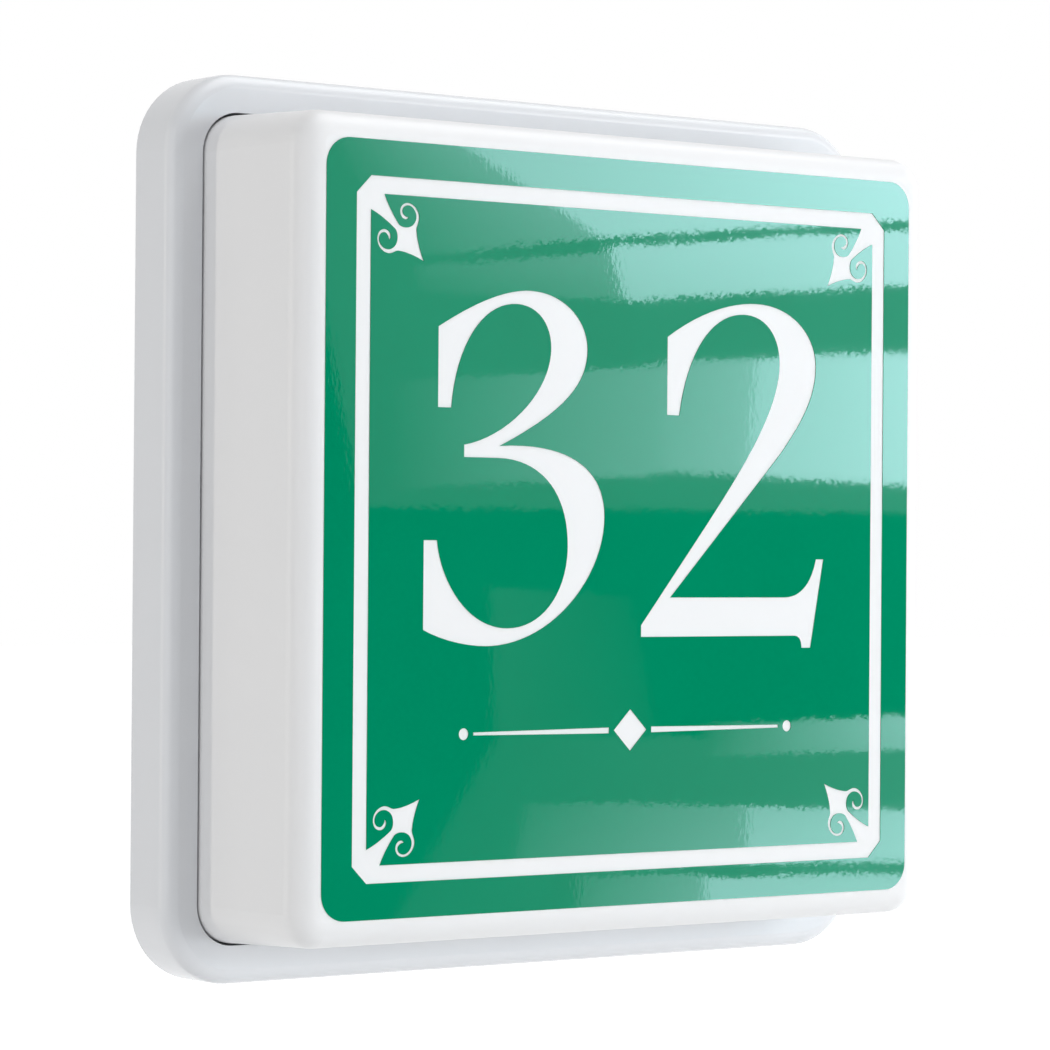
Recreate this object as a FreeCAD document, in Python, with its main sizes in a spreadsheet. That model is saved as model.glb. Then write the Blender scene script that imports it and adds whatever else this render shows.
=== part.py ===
import FreeCAD
import Part
import Sketcher
import math
import os

# An illuminated house number sign: a wall housing with a raised rim, a gear tray with four
# lamp bars, and a deep opal cover whose front carries a cut-out film with the number.
#
# Frame: x to the right seen from the front, z up, y into the wall. The origin is the middle of
# the flat back, on the wall. Every outline below is drawn seen from the front, with x to the
# right and y up, and stands at a depth in front of the wall.

Vector = FreeCAD.Vector
FACING_FRONT = FreeCAD.Placement(Vector(0, 0, 0), FreeCAD.Rotation(Vector(1, 0, 0), 90))

SIZES = (
    # housing
    ("housing_side", 275.0, "side of the square rim"),
    ("housing_depth", 20.0, "wall to the front of the rim"),
    ("housing_corner", 24.0, "corner radius of the rim"),
    ("housing_wall", 2.5, "moulded wall of the housing"),
    ("rim_rounding", 4.5, "rounding of the rim's front edge"),
    ("ring_dish", 1.0, "how far the rim's front face falls towards the cover"),
    ("floor_thickness", 3.0, "floor of the housing"),
    # cover
    ("cover_side", 250.0, "side of the cover's skirt"),
    ("cover_corner", 12.0, "corner radius of the cover"),
    ("cover_wall", 2.5, "moulded wall of the cover"),
    ("cover_gap", 0.8, "gap between the cover and the housing"),
    ("cover_draft", 2.4, "draft of the cover's sides in degrees"),
    ("cover_rounding", 8.0, "rounding round the cover's front face"),
    ("sign_depth", 69.0, "wall to the cover's front face"),
    # seals
    ("seal_height", 5.0, "foot of the cover seal"),
    ("seal_overlap", 2.0, "how far the seal's foot reaches in past the skirt"),
    ("seal_lip", 0.5, "thickness of the seal's lip in the gap"),
    ("seal_recess", 1.5, "how far the lip stays below the rim"),
    ("wall_seal_width", 6.0, "width of the foam seal on the back"),
    ("wall_seal_depth", 1.5, "depth of the foam seal"),
    ("wall_seal_edge", 3.3, "plastic left outside the foam seal"),
    ("fit_clearance", 0.3, "space between pieces that part from one another"),
    # cover clips
    ("clip_post_width", 16.0, "moulded post under each cover clip"),
    ("clip_post_thickness", 3.0, "thickness of the post"),
    ("clip_post_height", 12.0, "height of the post above the floor"),
    ("clip_sheet", 0.5, "spring steel of the clip"),
    ("clip_reach", 3.2, "how far the clip bows out of its post, to the skirt"),
    # gear tray
    ("tray_side", 220.0, "side of the gear tray"),
    ("tray_sheet", 1.2, "steel of the gear tray"),
    ("tray_flange", 10.0, "depth of its turned edge"),
    ("tray_corner", 6.0, "corner radius of the gear tray"),
    ("tray_boss_spacing", 200.0, "spacing of the four tray screws"),
    ("tray_boss_height", 16.0, "height of the screw bosses above the floor"),
    ("tray_boss_width", 8.0, "diameter of the screw bosses"),
    ("window_width", 110.0, "opening of the tray over the terminals"),
    ("window_height", 36.0, "height of that opening"),
    ("window_low", 56.0, "middle of that opening below the sign's middle"),
    # wall fixing
    ("fixing_width", 180.0, "spacing of the wall screws across"),
    ("fixing_height", 112.0, "spacing of the wall screws up"),
    ("fixing_slot", 9.0, "length of a wall screw slot"),
    ("fixing_hole", 5.0, "width of a wall screw slot"),
    ("access_hole", 14.0, "hole of the tray over each wall screw"),
    ("washer_width", 13.0, "rubber washer under each wall screw"),
    ("washer_height", 2.0, "thickness of the rubber washer"),
    # cable entry
    ("entry_across", 28.0, "middle of the cable entry to the right"),
    ("entry_hole", 20.0, "hole of the floor for the grommet"),
    ("entry_flange", 25.0, "flanges of the grommet"),
    ("entry_flange_depth", 1.3, "thickness of the grommet's rear flange"),
    ("entry_cone_height", 14.0, "length of the grommet"),
    ("entry_cone_width", 12.0, "front end of the grommet's cone"),
    ("cable_bore", 8.0, "hole for the supply cable"),
    # lamp bars
    ("bar_length", 204.0, "length of a lamp bar"),
    ("bar_width", 12.0, "width of a lamp bar"),
    ("bar_board", 1.6, "thickness of a lamp bar"),
    ("bar_spacing", 56.0, "spacing of the lamp bars"),
    ("bar_screw_spacing", 196.0, "spacing of a bar's two screws"),
    ("lamp_count", 7, "lamps on one bar"),
    ("lamp_spacing", 29.0, "spacing of the lamps along a bar"),
    ("chip_length", 3.5, "length of a lamp chip"),
    ("chip_width", 2.8, "width of a lamp chip"),
    ("chip_height", 0.7, "height of a lamp chip"),
    ("lens_width", 11.0, "diameter of a lens"),
    ("lens_height", 4.6, "height of a lens"),
    ("lens_rounding", 3.2, "rounding of a lens"),
    ("lens_bore", 6.0, "hollow of a lens over its chip"),
    ("lens_bore_height", 1.8, "depth of that hollow"),
    ("connector_across", 72.5, "wire connectors on a bar, left and right of its middle"),
    ("connector_size", 8.0, "side of a wire connector"),
    ("connector_height", 3.2, "height of a wire connector"),
    # power supply
    ("driver_length", 110.0, "length of the power supply"),
    ("driver_width", 38.0, "width of the power supply"),
    ("driver_height", 14.5, "height of the power supply"),
    ("driver_up", 56.0, "middle of the power supply above the sign's middle"),
    ("driver_ear", 10.0, "length of its two screw ears"),
    ("driver_ear_width", 14.0, "width of an ear"),
    ("driver_ear_height", 3.0, "thickness of an ear"),
    ("driver_boss_height", 6.0, "bosses under the ears"),
    ("driver_corner", 3.0, "corner radius of the power supply"),
    # terminal block
    ("terminal_across", 22.0, "middle of the terminal block to the left"),
    ("terminal_length", 20.0, "wire ends of the block"),
    ("terminal_height", 12.0, "height of the block"),
    ("pole_pitch", 9.6, "spacing of the three poles"),
    ("pole_wall", 1.2, "wall between two levers"),
    ("lever_slot_depth", 5.0, "depth of a lever's slot"),
    ("lever_pivot_up", 6.0, "lever pivot above the block's middle"),
    ("lever_hub", 3.6, "diameter of a lever's hub"),
    ("lever_pin", 1.6, "diameter of a lever's pivot pin"),
    ("lever_pin_length", 0.7, "how far the pin enters the wall"),
    ("lever_thickness", 2.2, "thickness of a lever's arm"),
    ("lever_tip", 1.5, "how far a lever reaches past the block"),
    ("side_clearance", 0.2, "space on each side of a lever"),
    ("pin_clearance", 0.05, "space all round a pin in its hole"),
    ("wire_hole", 2.6, "wire holes of the block and the power supply"),
    ("wire_height", 5.0, "wire holes above the floor"),
    ("wire_hole_depth", 6.0, "depth of a wire hole"),
    # wires
    ("mains_wire", 1.8, "diameter of a mains wire"),
    ("lamp_wire", 1.4, "diameter of a lamp wire"),
    ("wire_pair", 3.0, "spacing of the two lamp wires"),
    ("pass_hole", 9.0, "hole of the tray for the lamp wires"),
    ("pass_up", 66.5, "middle of that hole above the sign's middle"),
    ("lug_up", 8.0, "earth lug above the sign's middle"),
    ("lug_side", 8.0, "side of the earth lug"),
    ("lug_sheet", 0.8, "thickness of the earth lug"),
    ("lug_barrel", 3.0, "diameter of the lug's barrel"),
    ("lug_barrel_length", 6.0, "length of the lug's barrel"),
    # screws
    ("screw_head", 5.5, "head diameter of the small screws"),
    ("screw_head_height", 2.0, "head height"),
    ("screw_shank", 2.5, "shank diameter"),
    ("screw_length", 9.0, "shank length of the tray and power supply screws"),
    ("bar_screw_length", 6.0, "shank length of the lamp bar screws"),
    ("screw_hole", 3.2, "clearance holes"),
    ("cross_length", 3.4, "cross recess"),
    ("cross_width", 0.8, "width of the recess"),
    ("cross_depth", 1.2, "depth of the recess"),
    # front film
    ("film_side", 230.0, "side of the film"),
    ("film_corner", 8.3, "corner radius of the film"),
    ("film_thickness", 0.25, "thickness of the film"),
    ("border_side", 208.6, "outer side of the white border line"),
    ("border_line", 5.25, "width of the border line"),
    ("border_chamfer", 5.2, "cut corners of the border line"),
    ("ornament_size", 19.2, "reach of a corner ornament from the border"),
    ("digit_height", 107.6, "height of the digits"),
    ("digit_low", 34.7, "foot of the digits below the sign's middle"),
    ("divider_low", 61.0, "divider below the sign's middle"),
    ("divider_bar", 52.0, "length of each bar of the divider"),
    ("divider_lozenge", 13.0, "middle lozenge of the divider"),
    ("divider_dot", 3.6, "dots at the ends of the divider"),
)

document = FreeCAD.newDocument("HouseNumberSign")
sheet = document.addObject("Spreadsheet::Sheet", "Dim")
for row_number, (alias, number, meaning) in enumerate(SIZES, start=1):
    sheet.set("A%d" % row_number, meaning)
    sheet.set("B%d" % row_number, str(number))
    sheet.setAlias("B%d" % row_number, alias)
document.recompute()


# ---------------------------------------------------------------- places that pieces share

WELL_SIDE = "(Dim.cover_side + 2 * Dim.cover_gap)"
WELL_CORNER = "(Dim.cover_corner + Dim.cover_gap)"
WELL_WALL_SIDE = "(" + WELL_SIDE + " + 2 * Dim.housing_wall)"
WELL_WALL_CORNER = "(" + WELL_CORNER + " + Dim.housing_wall)"
WELL_EDGE_DEPTH = "(Dim.housing_depth - Dim.ring_dish)"
SEAL_TOP = "(Dim.floor_thickness + Dim.seal_height)"
SKIRT_REAR = "(" + SEAL_TOP + " + Dim.fit_clearance)"
SKIRT_INSIDE = "(Dim.cover_side - 2 * Dim.cover_wall)"
POST_OUTSIDE = "(" + SKIRT_INSIDE + " / 2 - Dim.fit_clearance - Dim.clip_reach)"
TRAY_BACK = "(Dim.floor_thickness + Dim.tray_boss_height)"
TRAY_FRONT = "(" + TRAY_BACK + " + Dim.tray_sheet)"
BAR_FRONT = "(" + TRAY_FRONT + " + Dim.bar_board)"
BOSS_ACROSS = "(Dim.tray_boss_spacing / 2)"
PILOT_HOLE = "(Dim.screw_shank + 2 * Dim.pin_clearance)"
EAR_BACK = "(Dim.floor_thickness + Dim.driver_boss_height)"
EAR_FRONT = "(" + EAR_BACK + " + Dim.driver_ear_height)"
EAR_SCREW = "(Dim.driver_length / 2 + Dim.driver_ear / 2)"
TERMINAL_WIDTH = "(3 * Dim.pole_pitch + Dim.pole_wall)"
TERMINAL_FRONT = "(Dim.floor_thickness + Dim.terminal_height)"
LEVER_WIDTH = "(Dim.pole_pitch - Dim.pole_wall - 2 * Dim.side_clearance)"
LEVER_PIVOT_DEPTH = "(" + TERMINAL_FRONT + " - Dim.lever_slot_depth / 2)"
WIRE_DEPTH = "(Dim.floor_thickness + Dim.wire_height)"
LAMP_WIRE_DEPTH = "(" + BAR_FRONT + " + Dim.connector_height / 2)"
LIVE_ENTRY = "(-Dim.driver_length / 2 + 3 * Dim.wire_hole_depth)"
NEUTRAL_ENTRY = "(" + LIVE_ENTRY + " + Dim.pole_pitch)"
MAINS_ENTRY = (LIVE_ENTRY, NEUTRAL_ENTRY)
LAMP_EXIT_UP = "(Dim.driver_up + Dim.driver_ear_width / 2 + Dim.wire_pair)"
EARTH_ACROSS = "(-Dim.terminal_across + Dim.pole_pitch)"


def size(expression):
    """The number that an expression of the sheet's sizes comes to."""
    return float(sheet.evalExpression(str(expression)))


# ---------------------------------------------------------------- drawing helpers

def new_body(name):
    body = document.addObject("PartDesign::Body", name)
    body.Label = name
    body.AllowCompound = True
    return body


def wall_sketch(body, depth):
    """A sketch parallel to the wall, at a depth in front of it."""
    sketch = body.newObject("Sketcher::SketchObject", body.Name + "_outline")
    plane = [item for item in body.Origin.OriginFeatures if item.Role == "XZ_Plane"][0]
    sketch.AttachmentSupport = [(plane, "")]
    sketch.MapMode = "FlatFace"
    sketch.setExpression(".AttachmentOffset.Base.z", str(depth))
    return sketch


def bind(sketch, kind, places, expression):
    """A dimension of a sketch that follows the sheet; a length of nothing becomes a coincidence."""
    number = size(expression)
    if kind in ("DistanceX", "DistanceY") and abs(number) < 1e-9:
        axis = -2 if kind == "DistanceX" else -1
        sketch.addConstraint(Sketcher.Constraint("PointOnObject", places[2], places[3], axis))
        return
    index = sketch.addConstraint(Sketcher.Constraint(kind, *places, number))
    sketch.setExpression("Constraints[%d]" % index, str(expression))


def add_circle(sketch, x, y, diameter):
    circle = Part.Circle(Vector(size(x), size(y), 0), Vector(0, 0, 1), size(diameter) / 2)
    index = sketch.addGeometry(circle, False)
    bind(sketch, "DistanceX", (-1, 1, index, 3), x)
    bind(sketch, "DistanceY", (-1, 1, index, 3), y)
    bind(sketch, "Diameter", (index,), diameter)


def add_rectangle(sketch, x, y, width, height):
    """A sharp rectangle about its middle."""
    left = size(x) - size(width) / 2
    right = size(x) + size(width) / 2
    low = size(y) - size(height) / 2
    high = size(y) + size(height) / 2
    corners = [Vector(left, low, 0), Vector(right, low, 0), Vector(right, high, 0), Vector(left, high, 0)]
    first = sketch.GeometryCount
    for index in range(4):
        sketch.addGeometry(Part.LineSegment(corners[index], corners[(index + 1) % 4]), False)
    for index in range(4):
        following = first + (index + 1) % 4
        sketch.addConstraint(Sketcher.Constraint("Coincident", first + index, 2, following, 1))
        direction = "Horizontal" if index % 2 == 0 else "Vertical"
        sketch.addConstraint(Sketcher.Constraint(direction, first + index))
    bind(sketch, "DistanceX", (first, 1, first, 2), width)
    bind(sketch, "DistanceY", (first + 1, 1, first + 1, 2), height)
    bind(sketch, "DistanceX", (-1, 1, first, 1), "%s - %s / 2" % (x, width))
    bind(sketch, "DistanceY", (-1, 1, first, 1), "%s - %s / 2" % (y, height))


def add_rounded_rectangle(sketch, x, y, width, height, radius):
    """A rectangle about its middle with four tangent corner arcs."""
    corner = size(radius)
    reach_x = size(width) / 2 - corner
    reach_y = size(height) / 2 - corner
    first = sketch.GeometryCount
    arcs = []
    for index, (side_x, side_y) in enumerate(((1, 1), (-1, 1), (-1, -1), (1, -1))):
        centre = Vector(size(x) + side_x * reach_x, size(y) + side_y * reach_y, 0)
        start = index * math.pi / 2
        circle = Part.Circle(centre, Vector(0, 0, 1), corner)
        arcs.append(Part.ArcOfCircle(circle, start, start + math.pi / 2))
        sketch.addGeometry(arcs[-1], False)
    for index in range(4):
        run = Part.LineSegment(arcs[index].EndPoint, arcs[(index + 1) % 4].StartPoint)
        sketch.addGeometry(run, False)
    for index in range(4):
        line = first + 4 + index
        following = first + (index + 1) % 4
        sketch.addConstraint(Sketcher.Constraint("Tangent", first + index, 2, line, 1))
        sketch.addConstraint(Sketcher.Constraint("Tangent", line, 2, following, 1))
        direction = "Horizontal" if index % 2 == 0 else "Vertical"
        sketch.addConstraint(Sketcher.Constraint(direction, line))
    for index in range(1, 4):
        sketch.addConstraint(Sketcher.Constraint("Equal", first, first + index))
    left = first + 5
    bottom = first + 6
    right = first + 7
    top = first + 4
    bind(sketch, "Radius", (first,), radius)
    bind(sketch, "DistanceX", (left, 1, right, 1), width)
    bind(sketch, "DistanceY", (bottom, 1, top, 1), height)
    bind(sketch, "DistanceX", (-1, 1, left, 1), "%s - %s / 2" % (x, width))
    bind(sketch, "DistanceY", (-1, 1, bottom, 1), "%s - %s / 2" % (y, height))


def add_slot(sketch, x, y, length, width):
    """A slot along x about its middle, with round ends."""
    radius = size(width) / 2
    reach = size(length) / 2 - radius
    right_centre = Vector(size(x) + reach, size(y), 0)
    left_centre = Vector(size(x) - reach, size(y), 0)
    first = sketch.GeometryCount
    right_circle = Part.Circle(right_centre, Vector(0, 0, 1), radius)
    left_circle = Part.Circle(left_centre, Vector(0, 0, 1), radius)
    right_arc = Part.ArcOfCircle(right_circle, -math.pi / 2, math.pi / 2)
    left_arc = Part.ArcOfCircle(left_circle, math.pi / 2, 3 * math.pi / 2)
    sketch.addGeometry(right_arc, False)
    sketch.addGeometry(Part.LineSegment(right_arc.EndPoint, left_arc.StartPoint), False)
    sketch.addGeometry(left_arc, False)
    sketch.addGeometry(Part.LineSegment(left_arc.EndPoint, right_arc.StartPoint), False)
    for index in range(4):
        following = first + (index + 1) % 4
        sketch.addConstraint(Sketcher.Constraint("Tangent", first + index, 2, following, 1))
    sketch.addConstraint(Sketcher.Constraint("Horizontal", first + 1))
    bind(sketch, "Radius", (first,), "%s / 2" % width)
    bind(sketch, "DistanceX", (first + 2, 3, first, 3), "%s - %s" % (length, width))
    bind(sketch, "DistanceX", (-1, 1, first, 3), "%s + (%s - %s) / 2" % (x, length, width))
    bind(sketch, "DistanceY", (-1, 1, first, 3), y)


def pad(body, sketch, length, taper=None):
    """Material from the sketch towards the front."""
    feature = body.newObject("PartDesign::Pad", body.Name + "_pad")
    feature.Profile = sketch
    feature.setExpression("Length", str(length))
    if taper is not None:
        feature.setExpression("TaperAngle", str(taper))
    sketch.Visibility = False
    document.recompute()
    return feature


def pocket(body, sketch, depth, from_back=False, taper=None):
    """A cut from the sketch towards the wall, or from the back towards the front."""
    before = body.Shape.Volume
    feature = body.newObject("PartDesign::Pocket", body.Name + "_pocket")
    feature.Profile = sketch
    feature.Reversed = from_back
    feature.setExpression("Length", str(depth))
    if taper is not None:
        feature.setExpression("TaperAngle", str(taper))
    sketch.Visibility = False
    document.recompute()
    if body.Shape.Volume > before - 1e-6:
        raise RuntimeError("a pocket of %s cuts nothing" % body.Label)
    return feature


def front_edges(shape, depth):
    """The names of the edges that lie flat at one depth in front of the wall."""
    level = -size(depth)
    names = []
    for index, edge in enumerate(shape.Edges, start=1):
        box = edge.BoundBox
        if abs(box.YMin - level) < 1e-4 and abs(box.YMax - level) < 1e-4:
            names.append("Edge%d" % index)
    return names


def fillet(body, feature, names, radius):
    rounding = body.newObject("PartDesign::Fillet", body.Name + "_fillet")
    rounding.Base = (feature, names)
    rounding.setExpression("Radius", str(radius))
    document.recompute()
    return rounding


def row_copies(body, sketch, axis, spacing, count):
    """The whole body repeated in a row along the sketch's own axis."""
    pattern = body.newObject("PartDesign::LinearPattern", body.Name + "_row")
    pattern.Direction = (sketch, [axis])
    pattern.Mode = "Spacing"
    pattern.setExpression("Offset", str(spacing))
    pattern.setExpression("Occurrences", str(count))
    pattern.TransformMode = "Whole shape"
    body.Tip = pattern
    document.recompute()
    return pattern


def coded_piece(name, shape):
    """A piece whose shape is worked out from curves that a sketch can't hold.

    It is drawn flat with z towards the viewer and turned to stand in front of the wall.
    """
    piece = document.addObject("Part::Feature", name)
    piece.Label = name
    piece.Shape = shape
    piece.Placement = FACING_FRONT.multiply(piece.Placement)
    return piece


# ---------------------------------------------------------------- housing

def back_housing():
    """The wall housing: rim, dished ring, well for the cover, floor, bosses and posts."""
    body = new_body("back_housing")
    outline = wall_sketch(body, "0")
    add_rounded_rectangle(outline, "0", "0", "Dim.housing_side", "Dim.housing_side", "Dim.housing_corner")
    block = pad(body, outline, "Dim.housing_depth")
    rounded = fillet(body, block, front_edges(block.Shape, "Dim.housing_depth"), "Dim.rim_rounding")

    ring = wall_sketch(body, "Dim.housing_depth")
    flat_side = "(Dim.housing_side - 2 * Dim.rim_rounding)"
    flat_corner = "(Dim.housing_corner - Dim.rim_rounding)"
    add_rounded_rectangle(ring, "0", "0", flat_side, flat_side, flat_corner)
    lip = wall_sketch(body, WELL_EDGE_DEPTH)
    add_rounded_rectangle(lip, "0", "0", WELL_SIDE, WELL_SIDE, WELL_CORNER)
    dish = body.newObject("PartDesign::SubtractiveLoft", "ring_dish")
    dish.Profile = ring
    dish.Sections = [lip]
    dish.Ruled = True
    document.recompute()
    if dish.Shape.Volume > rounded.Shape.Volume - 1e-6:
        raise RuntimeError("the dish of the rim cuts nothing")

    well = wall_sketch(body, "Dim.housing_depth")
    add_rounded_rectangle(well, "0", "0", WELL_SIDE, WELL_SIDE, WELL_CORNER)
    pocket(body, well, "Dim.housing_depth - Dim.floor_thickness")

    channel = wall_sketch(body, "0")
    rim_inside = "(Dim.housing_side - 2 * Dim.housing_wall)"
    rim_inside_corner = "(Dim.housing_corner - Dim.housing_wall)"
    add_rounded_rectangle(channel, "0", "0", rim_inside, rim_inside, rim_inside_corner)
    add_rounded_rectangle(channel, "0", "0", WELL_WALL_SIDE, WELL_WALL_SIDE, WELL_WALL_CORNER)
    pocket(body, channel, WELL_EDGE_DEPTH + " - Dim.housing_wall", from_back=True)

    posts = wall_sketch(body, "Dim.floor_thickness")
    middle = "(" + POST_OUTSIDE + " - Dim.clip_post_thickness / 2)"
    for side in ("", "-"):
        add_rectangle(posts, side + middle, "0", "Dim.clip_post_thickness", "Dim.clip_post_width")
        add_rectangle(posts, "0", side + middle, "Dim.clip_post_width", "Dim.clip_post_thickness")
    pad(body, posts, "Dim.clip_post_height")

    bosses = wall_sketch(body, "Dim.floor_thickness")
    for side_x in ("", "-"):
        for side_y in ("", "-"):
            add_circle(bosses, side_x + BOSS_ACROSS, side_y + BOSS_ACROSS, "Dim.tray_boss_width")
    pad(body, bosses, "Dim.tray_boss_height")
    pilots = wall_sketch(body, TRAY_BACK)
    for side_x in ("", "-"):
        for side_y in ("", "-"):
            add_circle(pilots, side_x + BOSS_ACROSS, side_y + BOSS_ACROSS, PILOT_HOLE)
    pocket(body, pilots, "Dim.screw_length")

    driver_bosses = wall_sketch(body, "Dim.floor_thickness")
    for side in ("", "-"):
        add_circle(driver_bosses, side + EAR_SCREW, "Dim.driver_up", "Dim.tray_boss_width")
    pad(body, driver_bosses, "Dim.driver_boss_height")
    driver_pilots = wall_sketch(body, EAR_BACK)
    for side in ("", "-"):
        add_circle(driver_pilots, side + EAR_SCREW, "Dim.driver_up", PILOT_HOLE)
    pocket(body, driver_pilots, "Dim.screw_length - Dim.driver_ear_height + Dim.fit_clearance")

    cradle = wall_sketch(body, "Dim.floor_thickness")
    rib_across = "(" + TERMINAL_WIDTH + " / 2 + Dim.side_clearance + Dim.pole_wall / 2)"
    for side in ("", "-"):
        place = "-Dim.terminal_across + " + side + rib_across
        add_rectangle(cradle, place, "-Dim.window_low", "Dim.pole_wall", "Dim.terminal_length / 2")
    pad(body, cradle, "Dim.wire_height")

    slots = wall_sketch(body, "Dim.floor_thickness")
    for side_x in ("", "-"):
        for side_y in ("", "-"):
            across = side_x + "Dim.fixing_width / 2"
            up = side_y + "Dim.fixing_height / 2"
            add_slot(slots, across, up, "Dim.fixing_slot", "Dim.fixing_hole")
    pocket(body, slots, "Dim.floor_thickness")

    entry = wall_sketch(body, "Dim.floor_thickness")
    add_circle(entry, "Dim.entry_across", "-Dim.window_low", "Dim.entry_hole")
    pocket(body, entry, "Dim.floor_thickness")
    recess = wall_sketch(body, "0")
    add_circle(recess, "Dim.entry_across", "-Dim.window_low", "Dim.entry_flange + 2 * Dim.side_clearance")
    pocket(body, recess, "Dim.entry_flange_depth", from_back=True)

    groove = wall_sketch(body, "0")
    foam_outside = "(" + WELL_WALL_SIDE + " - 2 * Dim.wall_seal_edge)"
    foam_inside = "(" + foam_outside + " - 2 * Dim.wall_seal_width)"
    foam_corner = "(" + WELL_WALL_CORNER + " - Dim.wall_seal_edge)"
    inner_corner = "(" + foam_corner + " - Dim.wall_seal_width)"
    add_rounded_rectangle(groove, "0", "0", foam_outside, foam_outside, foam_corner)
    add_rounded_rectangle(groove, "0", "0", foam_inside, foam_inside, inner_corner)
    pocket(body, groove, "Dim.wall_seal_depth", from_back=True)
    return body


def wall_seal():
    """The foam strip in the groove of the housing's back, pressed flush by the wall."""
    body = new_body("wall_seal")
    outside = "(" + WELL_WALL_SIDE + " - 2 * Dim.wall_seal_edge)"
    inside = "(" + outside + " - 2 * Dim.wall_seal_width)"
    corner = "(" + WELL_WALL_CORNER + " - Dim.wall_seal_edge)"
    inner_corner = "(" + corner + " - Dim.wall_seal_width)"
    outline = wall_sketch(body, "0")
    add_rounded_rectangle(outline, "0", "0", outside, outside, corner)
    add_rounded_rectangle(outline, "0", "0", inside, inside, inner_corner)
    pad(body, outline, "Dim.wall_seal_depth")
    return body


def cover_seal():
    """The dark rubber seal: a foot under the skirt and a thin lip up the gap round it."""
    body = new_body("cover_seal")
    foot = wall_sketch(body, "Dim.floor_thickness")
    inside = "(" + SKIRT_INSIDE + " - 2 * Dim.seal_overlap)"
    inner_corner = "(Dim.cover_corner - Dim.cover_wall - Dim.seal_overlap)"
    add_rounded_rectangle(foot, "0", "0", WELL_SIDE, WELL_SIDE, WELL_CORNER)
    add_rounded_rectangle(foot, "0", "0", inside, inside, inner_corner)
    pad(body, foot, "Dim.seal_height")
    lip = wall_sketch(body, SEAL_TOP)
    lip_side = "(" + WELL_SIDE + " - 2 * Dim.seal_lip)"
    lip_corner = "(" + WELL_CORNER + " - Dim.seal_lip)"
    add_rounded_rectangle(lip, "0", "0", WELL_SIDE, WELL_SIDE, WELL_CORNER)
    add_rounded_rectangle(lip, "0", "0", lip_side, lip_side, lip_corner)
    pad(body, lip, WELL_EDGE_DEPTH + " - Dim.seal_recess - " + SEAL_TOP)
    return body


def cover_clip(name, turn):
    """A bent spring clip over its post; its bow presses on the inside of the skirt."""
    half_sheet = size("Dim.clip_sheet") / 2
    outside = size(POST_OUTSIDE) + half_sheet
    inside = size(POST_OUTSIDE + " - Dim.clip_post_thickness") - half_sheet
    top = size("Dim.floor_thickness + Dim.clip_post_height") + half_sheet
    bow = size(POST_OUTSIDE + " + Dim.clip_reach") - half_sheet
    bow_depth = (top + size(SKIRT_REAR)) / 2
    end_depth = size(SKIRT_REAR) + 2 * half_sheet
    leg_depth = bow_depth - 2 * size("Dim.clip_post_thickness") / 3
    points = [Vector(inside, 0, leg_depth), Vector(inside, 0, top), Vector(outside, 0, top),
              Vector(bow, 0, bow_depth), Vector(outside, 0, end_depth)]
    middle_line = Part.makePolygon(points)
    band = Part.Face(middle_line.makeOffset2D(half_sheet, 2, False, False, False))
    width = size("Dim.clip_post_width")
    band.translate(Vector(0, width / 2, 0))
    solid = band.extrude(Vector(0, -width, 0))
    solid.rotate(Vector(0, 0, 0), Vector(0, 0, 1), turn)
    return coded_piece(name, solid)


def cable_grommet():
    """The rubber grommet of the cable entry: two flanges, a neck and a cone with one hole."""
    body = new_body("cable_grommet")
    across = "Dim.entry_across"
    up = "-Dim.window_low"
    rear = wall_sketch(body, "0")
    add_circle(rear, across, up, "Dim.entry_flange")
    pad(body, rear, "Dim.entry_flange_depth")
    neck = wall_sketch(body, "Dim.entry_flange_depth")
    add_circle(neck, across, up, "Dim.entry_hole")
    pad(body, neck, "Dim.floor_thickness - Dim.entry_flange_depth")
    front = wall_sketch(body, "Dim.floor_thickness")
    add_circle(front, across, up, "Dim.entry_flange")
    pad(body, front, "Dim.entry_flange_depth")
    cone_foot = wall_sketch(body, "Dim.floor_thickness + Dim.entry_flange_depth")
    add_circle(cone_foot, across, up, "Dim.entry_hole")
    cone_tip = wall_sketch(body, "Dim.entry_cone_height")
    add_circle(cone_tip, across, up, "Dim.entry_cone_width")
    cone = body.newObject("PartDesign::AdditiveLoft", "grommet_cone")
    cone.Profile = cone_foot
    cone.Sections = [cone_tip]
    cone.Ruled = True
    document.recompute()
    bore = wall_sketch(body, "Dim.entry_cone_height")
    add_circle(bore, across, up, "Dim.cable_bore")
    pocket(body, bore, "Dim.entry_cone_height")
    return body


def wall_screw_washers():
    """Four rubber washers that seal the wall screws on the floor of the housing."""
    body = new_body("wall_screw_washers")
    outline = wall_sketch(body, "Dim.floor_thickness")
    for side_x in ("", "-"):
        for side_y in ("", "-"):
            across = side_x + "Dim.fixing_width / 2"
            up = side_y + "Dim.fixing_height / 2"
            add_circle(outline, across, up, "Dim.washer_width")
            add_circle(outline, across, up, "Dim.fixing_hole")
    pad(body, outline, "Dim.washer_height")
    return body


# ---------------------------------------------------------------- gear tray and screws

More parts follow.
